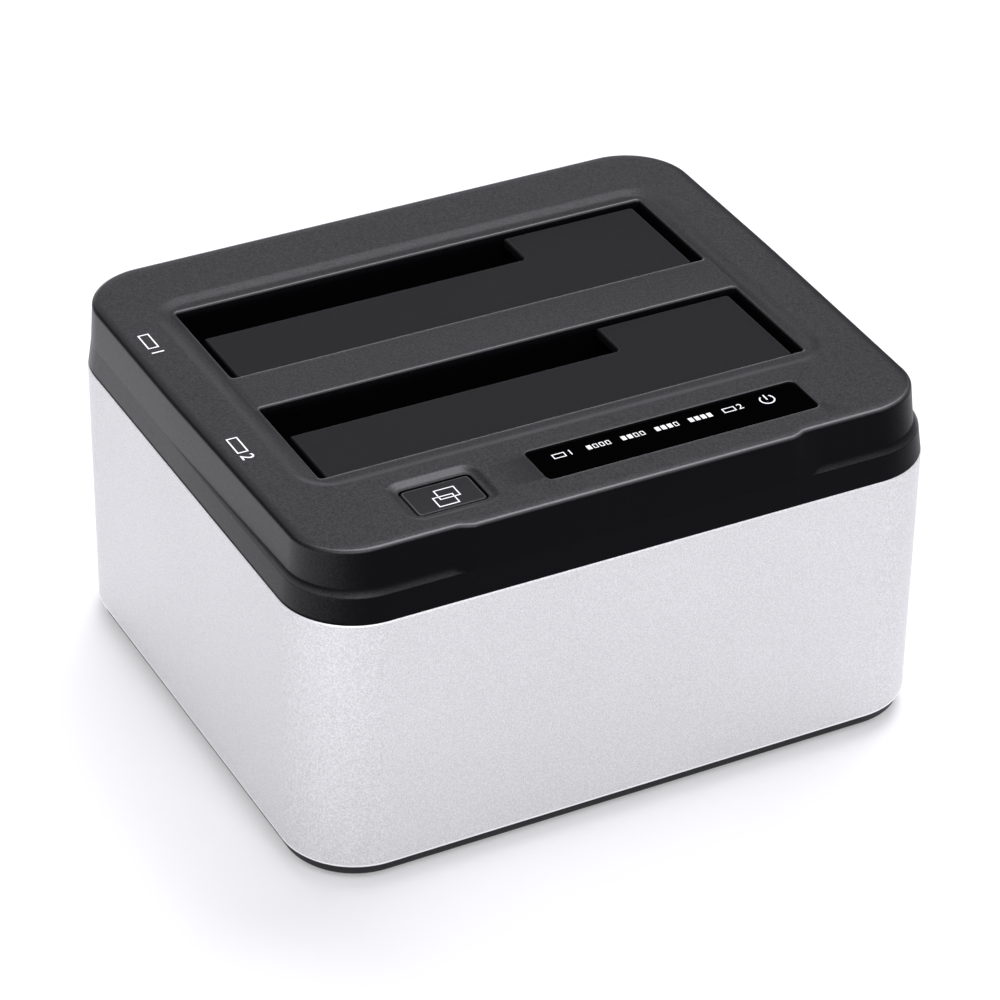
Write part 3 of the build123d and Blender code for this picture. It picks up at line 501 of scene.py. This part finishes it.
def outerShine(s, normals, stepShare):
    # How smooth each row of the profile is: hidden lap, seam, hem, skirt, ledge, root, wall, and then
    # the deck's edge, where the wall's sheen fades and the edge's rises.
    ny = normals[:, 1]
    facing = np.clip(np.abs(normals[:, 0]) ** 3 + np.clip(ny, 0, 1) ** 2, 0, 1)
    wall, edge = s["wallShine"] * facing, s["edgeShine"] * np.abs(ny) ** 1.5
    none = np.zeros(len(normals))
    ledge = np.maximum(wall * (1 + s["ledgeGain"] * stepShare), s["ledgeShine"] * np.abs(ny) * stepShare)
    skirt, root = wall * (1 - s["skirtLoss"] * stepShare), wall * (1 - stepShare)
    rows = np.repeat([none, s["seamShine"] * edge, none, skirt, ledge, root, wall], s["shineRows"], axis=0)
    turned = [np.maximum(wall * w, edge * e) for w, e in zip(s["wallFade"], s["edgeRise"])]
    return np.array([*rows, *turned, none + s["deckShine"]])


def coverOutside(s, base, normals):
    # A profile of (inset, height) corners, carried round the case: each point of the outline moves
    # inward along its normal by the inset and up to the height.
    lowStep = s["ledgeWidth"] * ledgeShare(base, normals, s, s["bumpDrift"]) + s["leastStep"]
    highStep = s["ledgeWidth"] * ledgeShare(base, normals, s, 0.0) + s["leastStep"]
    nx, ny = normals[:, 0] ** 2, normals[:, 1]
    topInset = s["sideInset"] * nx + np.where(ny < 0, s["frontInset"], s["rearInset"]) * ny ** 2
    highInset = topInset + highStep
    foot = sleeveTop - s["seamDrop"]
    hem = s["hemHeight"] / (s["skirtTop"] - foot)
    rows = [
        (s["seamLap"], sleeveTop),
        (s["seamRing"], sleeveTop),
        (s["seamInset"], foot),
        (s["seamReveal"], foot),
        (s["seamReveal"] + (s["skirtLean"] - s["seamReveal"]) * hem, foot + s["hemHeight"]),
        (s["skirtLean"], s["skirtTop"]),
        (s["skirtLean"] + lowStep, s["skirtTop"] + s["ledgeRise"] * lowStep / s["ledgeWidth"]),
        (highInset, deckTop),
        (highInset + s["deckRing"], deckTop),
    ]
    corners = np.array([np.stack(np.broadcast_arrays(inset, z, nx)[:2], 1) for inset, z in rows])
    reach = np.array([0, 0.02, 0.02, s["seamEdge"], 0.05, s["ledgeEdge"], s["ledgeRoot"], s["deckEdge"], 0])
    profile = roundedProfile(corners, reach[:, None] * np.ones(len(base)), s["profileSteps"])
    points = np.concatenate([base - normals * profile[..., :1], profile[..., 1:]], -1)
    return points, outerShine(s, normals, np.clip(lowStep / s["ledgeWidth"], 0, 1))


def slopeShine(bell, facing, extra, plain, frontLoss=0.8):
    # Plain sheen, more of it on the rear slope and less on the front one.
    return plain + np.outer(bell, extra * np.clip(facing, 0, 1) ** 2 - frontLoss * plain * np.clip(-facing, 0, 1))


def rimLevels(box, corner, edge, top, foot, apron=0.5):
    # From the flat surface over a quarter-round edge and down a wall.
    levels = []
    if apron:
        levels.append(lifted(boxLoop(box, edge + apron, corner), top))
    for angle in np.radians(np.linspace(0, 90, 7)):
        grow = edge * (1 - math.sin(angle))
        levels.append(lifted(boxLoop(box, grow, corner), top - edge * (1 - math.cos(angle))))
    levels.append(lifted(boxLoop(box, 0, corner), foot))
    return levels


def coverShell(s):
    base, normals = caseLoop(s)
    outside, shine = coverOutside(s, base, normals)
    under = deckTop - s["deckThickness"]
    low = sleeveTop - s["spigotDepth"]
    inner = ((s["shellTopInset"], under), (s["shellInset"], low), (s["spigotInset"], low),
             (s["spigotInset"], sleeveTop), (s["seamLap"], sleeveTop))
    hollow = [lifted(base - normals * inset, z) for inset, z in inner]
    shell = Shell()
    shell.strip(hollow)
    shell.strip(outside, shine)

    # Tray round the slots: its slope is an S from the deck to the floor.
    trayBox = (s["slots"][0] - s["trayRimX"], s["slots"][1] + s["trayRimX"],
               s["slotFronts"][1] - s["trayRimY"], s["slotFronts"][0] + s["slotDepth"] + s["trayRimY"])
    trayFloor = deckTop - s["trayDepth"]
    share = np.linspace(0, 1, s["traySteps"])
    tray = [lifted(boxLoop(trayBox, -s["traySlope"] * t, s["trayCorner"], 18),
                   deckTop - s["trayDepth"] * smoothStep(t)) for t in share]
    shell.strip(tray, slopeShine(np.sin(np.pi * share), loopFacing(18), s["trayShine"], s["deckShine"]))

    # Slots with rounded rims.
    rimTurn = s["rimSides"] + (1 - s["rimSides"]) * np.abs(loopFacing())
    rimShine = s["edgeShine"] * np.outer(s["rimRows"], rimTurn)
    slots = [rimLevels((*s["slots"], y, y + s["slotDepth"]), s["slotCorner"], s["slotEdge"], trayFloor, under)
             for y in s["slotFronts"]]
    for levels in slots:
        shell.strip(levels, rimShine)

    # Window seat: a crisp rim, a wall down to the seat and a hole through it.
    (left, front, seatTop), (right, rear, _) = windowBox
    play = s["windowPlay"]
    window = (left - play, right + play, front - play, rear + play)
    seat = rimLevels(window, s["windowCorner"], s["windowEdge"], deckTop, seatTop)
    ledge = boxLoop(window, -s["windowLedge"], s["windowCorner"])
    shell.strip([*seat, lifted(ledge, seatTop), lifted(ledge, under)], np.pad(rimShine, ((0, 2), (0, 0))))

    # Button pocket: sloping sides, a narrow floor and the hole for the cap.
    (left, front, _), (right, rear, _) = buttonBox
    flange, play = s["buttonFlange"], s["buttonPlay"]
    cap = (left + flange, right - flange, front + flange, rear - flange)
    share = np.linspace(0, 1, s["pocketSteps"])
    pocket = [lifted(boxLoop(cap, play + s["pocketMargin"] + s["pocketSlope"] * (1 - t), s["buttonCorner"]),
                     deckTop - s["pocketDepth"] * smoothStep(t)) for t in share]
    hole = (cap[0] - play, cap[1] + play, cap[2] - play, cap[3] + play)
    rim = rimLevels(hole, s["buttonCorner"] + play, s["buttonEdge"], deckTop - s["pocketDepth"], under, 0.0)
    bell = slopeShine(np.sin(np.pi * share), loopFacing(), s["pocketShine"], s["deckShine"])
    shell.strip([*pocket, *rim], np.concatenate([bell, s["pocketRim"] * rimShine[1:]]))

    # Deck, tray floor and underside.
    shell.flat(deckTop, outside[-1][:, :2], [levels[0][:, :2] for levels in (tray, seat, pocket)], s["deckShine"])
    shell.flat(trayFloor, tray[-1][:, :2], [levels[0][:, :2] for levels in slots], s["deckShine"])
    shell.flat(under, hollow[0][:, :2], [*(levels[-1][:, :2] for levels in slots), ledge, rim[-1][:, :2]])
    return shell


coverPiece = coverShell(cover).build("cover_shell", "cover", "case", "cover")
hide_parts("top_cover")
print("cover made:", len(coverPiece.data.polygons), "faces")


# Marks: plain numbers and two generic signs, a hair above what they are printed on.

marks = dict(
    lift=0.012, ink=0.03, capShare=0.70, letterHeight=2.6, letterDrop=0.65, bayX=-60.8, bayY=(26.6, -14.8),
    trayLength=5.4, trayWidth=2.3, stroke=0.28,
    stateY=-40.8, stateHeight=1.7, states=((-6.3, "1"), (29.9, "2")), stateTray=(2.6, 1.5), stateGap=1.1,
    stateStroke=0.2, levels=(-0.4, 6.9, 14.1, 21.3), levelLength=0.90, levelGap=0.42, levelHeight=1.35,
    levelStroke=0.16, powerX=35.8, powerRadius=1.42, powerGap=38, powerBar=0.1,
    iconStroke=0.24, iconUpper=(-34.9, -30.7, -44.25, -41.0), iconLower=(-36.1, -31.9, -46.35, -43.1),
)


def textMesh(words, height, turn, place, s):
    # A line of text as a thin solid, centred on its place and turned about Z by degrees.
    curve = bpy.data.curves.new("words", "FONT")
    curve.body = words
    curve.size = height / s["capShare"] * mm
    curve.align_x = "CENTER"
    curve.align_y = "CENTER"
    curve.extrude = s["ink"] / 2 * mm
    holder = bpy.data.objects.new("words", curve)
    bpy.context.scene.collection.objects.link(holder)
    bpy.context.view_layer.update()
    mesh = bpy.data.meshes.new_from_object(holder.evaluated_get(bpy.context.evaluated_depsgraph_get()))
    bpy.data.objects.remove(holder)
    mesh.transform(Matrix.Translation(Vector(place) * mm) @ Matrix.Rotation(math.radians(turn), 4, "Z"))
    points = np.empty(3 * len(mesh.vertices), np.float32)
    mesh.vertices.foreach_get("co", points)
    faces = [tuple(p.vertices) for p in mesh.polygons]
    bpy.data.meshes.remove(mesh)
    return points.reshape(-1, 3).astype(float) / mm, faces


def frameLoops(box, stroke):
    # A rectangle and the same one inset by the stroke.
    x0, x1, y0, y1 = box
    outer = np.array([(x0, y0), (x1, y0), (x1, y1), (x0, y1)])
    return outer, outer + stroke * np.array([(1, 1), (-1, 1), (-1, -1), (1, -1)])


def powerSign(shell, x, y, low, high, s):
    # An open ring, between two circles and the ends of its gap, and a short bar in that gap.
    gap = math.radians(s["powerGap"])
    angle = np.linspace(math.pi / 2 + gap, 2.5 * math.pi - gap, 40)
    ring = np.stack([np.cos(angle), np.sin(angle)], 1)
    half, over = s["stroke"] / 2, s["powerBar"]
    inner, outer = s["powerRadius"] - half, s["powerRadius"] + half
    bar = np.array([(-half, -over), (half, -over), (half, outer + over), (-half, outer + over)])
    shell.plate(low, high, np.concatenate([ring * outer, (ring * inner)[::-1]]) + (x, y))
    shell.plate(low, high, bar + (x, y))


def levelBars(shell, x, y, count, low, high, s):
    # A row of four small bars: the first ones filled, the others outlined.
    pitch = s["levelLength"] + s["levelGap"]
    for k in range(4):
        left = x + (k - 2) * pitch + s["levelGap"] / 2
        box = (left, left + s["levelLength"], y - s["levelHeight"] / 2, y + s["levelHeight"] / 2)
        outer, inner = frameLoops(box, s["levelStroke"])
        if k < count:
            shell.plate(low, high, outer)
        else:
            shell.band(low, high, outer, inner)


def makeMarks(s):
    def inkAbove(z):                     # the ink's lower, middle and upper height over a surface
        return z + s["lift"], z + s["lift"] + s["ink"] / 2, z + s["lift"] + s["ink"]

    low, middle, high = inkAbove(deckTop)
    deckInk = Shell()
    for number, y in enumerate(s["bayY"], start=1):
        box = (s["bayX"] - s["trayWidth"] / 2, s["bayX"] + s["trayWidth"] / 2, y, y + s["trayLength"])
        deckInk.band(low, high, *frameLoops(box, s["stroke"]))
        place = (s["bayX"], y - s["letterHeight"] * s["letterDrop"], middle)
        deckInk.add(*textMesh(str(number), s["letterHeight"], -90, place, s))
    deckInk.build("bay_numbers", "ink", "case", "lamp", merge=1e-7, crease=30)

    low, middle, high = inkAbove(windowBox[1][2])
    states = Shell()
    length, width = s["stateTray"]
    for x, words in s["states"]:
        states.add(*textMesh(words, s["stateHeight"], 0, (x, s["stateY"], middle), s))
        left = x - s["stateGap"] - length
        box = (left, left + length, s["stateY"] - width / 2, s["stateY"] + width / 2)
        states.band(low, high, *frameLoops(box, s["stateStroke"]))
    for count, x in enumerate(s["levels"], start=1):
        levelBars(states, x, s["stateY"], count, low, high, s)
    powerSign(states, s["powerX"], s["stateY"], low, high, s)
    states.build("window_marks", "ink", "case", "lamp", merge=1e-7, crease=30)

    low, middle, high = inkAbove(buttonBox[1][2])
    icon = Shell()
    for box in (s["iconUpper"], s["iconLower"]):
        icon.band(low, high, *frameLoops(box, s["iconStroke"]))
    icon.build("copy_sign", "ink", "clone_button", "lamp", merge=1e-7, crease=30)


makeMarks(marks)
print("marks made")


# Stage, lights and camera

stageSet = dict(
    floorHalf=6.0, floorTone=(0.60, 0.60, 0.605), floorRough=0.6, floorSpecular=0.1, fadeRange=(0.5, 1.6),
    worldTone=(1.0, 0.985, 1.03), worldLevel=0.2, seenLevel=1.0, seenGlow=0.30,
)


def makeStage(s):
    half = s["floorHalf"]
    mesh = bpy.data.meshes.new("floor")
    mesh.from_pydata([(-half, -half, 0), (half, -half, 0), (half, half, 0), (-half, half, 0)], [], [(0, 1, 2, 3)])
    floor = bpy.data.objects.new("floor", mesh)
    bpy.context.scene.collection.objects.link(floor)
    finish = Finish("floorPaper")
    place = finish.node("TexCoord", result="Object")
    reach = finish.node("VectorMath", {"operation": "LENGTH"}, "Value", in0=place)
    glow = reach.above(*s["fadeRange"]) * (1 - s["seenGlow"]) + s["seenGlow"]      # whiter where the lamps fade
    finish.done(Base_Color=(*s["floorTone"], 1), Roughness=s["floorRough"], Specular_IOR_Level=s["floorSpecular"],
                Emission_Color=finish.mix(finish.seenRays() * glow, (0, 0, 0), (1, 1, 1)), Emission_Strength=1.0)
    mesh.materials.append(finish.material)
    world = bpy.data.worlds.new("studio")
    world.use_nodes = True
    nodes = Nodes(world.node_tree)
    background = nodes.tree.nodes["Background"]
    joinSocket(nodes.tree, background.inputs["Color"], (*s["worldTone"], 1))
    joinSocket(nodes.tree, background.inputs["Strength"],
               nodes.seenRays() * (s["seenLevel"] - s["worldLevel"]) + s["worldLevel"])
    bpy.context.scene.world = world


lampSet = dict(tone=(1.0, 0.985, 1.045), aim=(0, 0, 0.04))       # places, sizes and aim in metres
lamps = {
    "rearSoftbox": dict(place=(0.50, 0.94, 1.26), size=(1.5, 0.6), power=14.6),
    "overhead": dict(place=(0.48, 0.32, 1.38), size=(0.8, 0.6), power=11.5),
    "backStrip": dict(place=(0.38, 1.27, 0.13), size=(0.9, 0.24), power=3.2),
    "frontSoftbox": dict(place=(-0.30, -0.95, 1.05), size=(1.1, 0.6), power=11.0),
    "frontRight": dict(place=(0.55, -0.84, 1.08), size=(0.4, 0.4), power=0.4),
    "leftTop": dict(place=(-0.85, -0.32, 1.05), size=(0.5, 0.5), power=2.0),
    "cornerPanel": dict(place=(-0.95, -0.62, 0.30), size=(0.6, 0.5), power=1.9),
}


def makeLamps(rows, s):
    for name, row in rows.items():
        light = bpy.data.lights.new(name, "AREA")
        light.shape = "RECTANGLE"
        light.size, light.size_y = row["size"]
        light.energy = row["power"]
        light.color = s["tone"]
        lamp = bpy.data.objects.new(name, light)
        lamp.location = row["place"]
        lamp.visible_camera = False
        aim = Vector(s["aim"]) - Vector(row["place"])
        lamp.rotation_euler = aim.to_track_quat("-Z", "Y").to_euler()
        bpy.context.scene.collection.objects.link(lamp)


cameraSet = dict(target=(-2.47, -5.90, 40.0), turn=-27.811, tilt=33.223, roll=0.851, distance=812.57,
                 lens=149.56, sensor=36, clip=(0.05, 50))


def makeCamera(s):
    turn, tilt, roll = (math.radians(s[k]) for k in ("turn", "tilt", "roll"))
    ahead = Vector((-math.sin(turn) * math.cos(tilt), math.cos(turn) * math.cos(tilt), -math.sin(tilt)))
    right = Vector((math.cos(turn), math.sin(turn), 0))
    up = right.cross(ahead)
    side = right * math.cos(roll) + up * math.sin(roll)
    top = up * math.cos(roll) - right * math.sin(roll)
    data = bpy.data.cameras.new("camera")
    data.sensor_width = s["sensor"]
    data.lens = s["lens"]
    data.clip_start, data.clip_end = s["clip"]
    camera = bpy.data.objects.new("camera", data)
    place = Vector(s["target"]) * mm - ahead * s["distance"] * mm
    camera.matrix_world = Matrix.Translation(place) @ Matrix((side, top, -ahead)).transposed().to_4x4()
    bpy.context.scene.collection.objects.link(camera)
    bpy.context.scene.camera = camera


makeStage(stageSet)
makeLamps(lamps, lampSet)
makeCamera(cameraSet)
bpy.context.scene.view_settings.view_transform = "Standard"
print("stage, lamps and camera made")
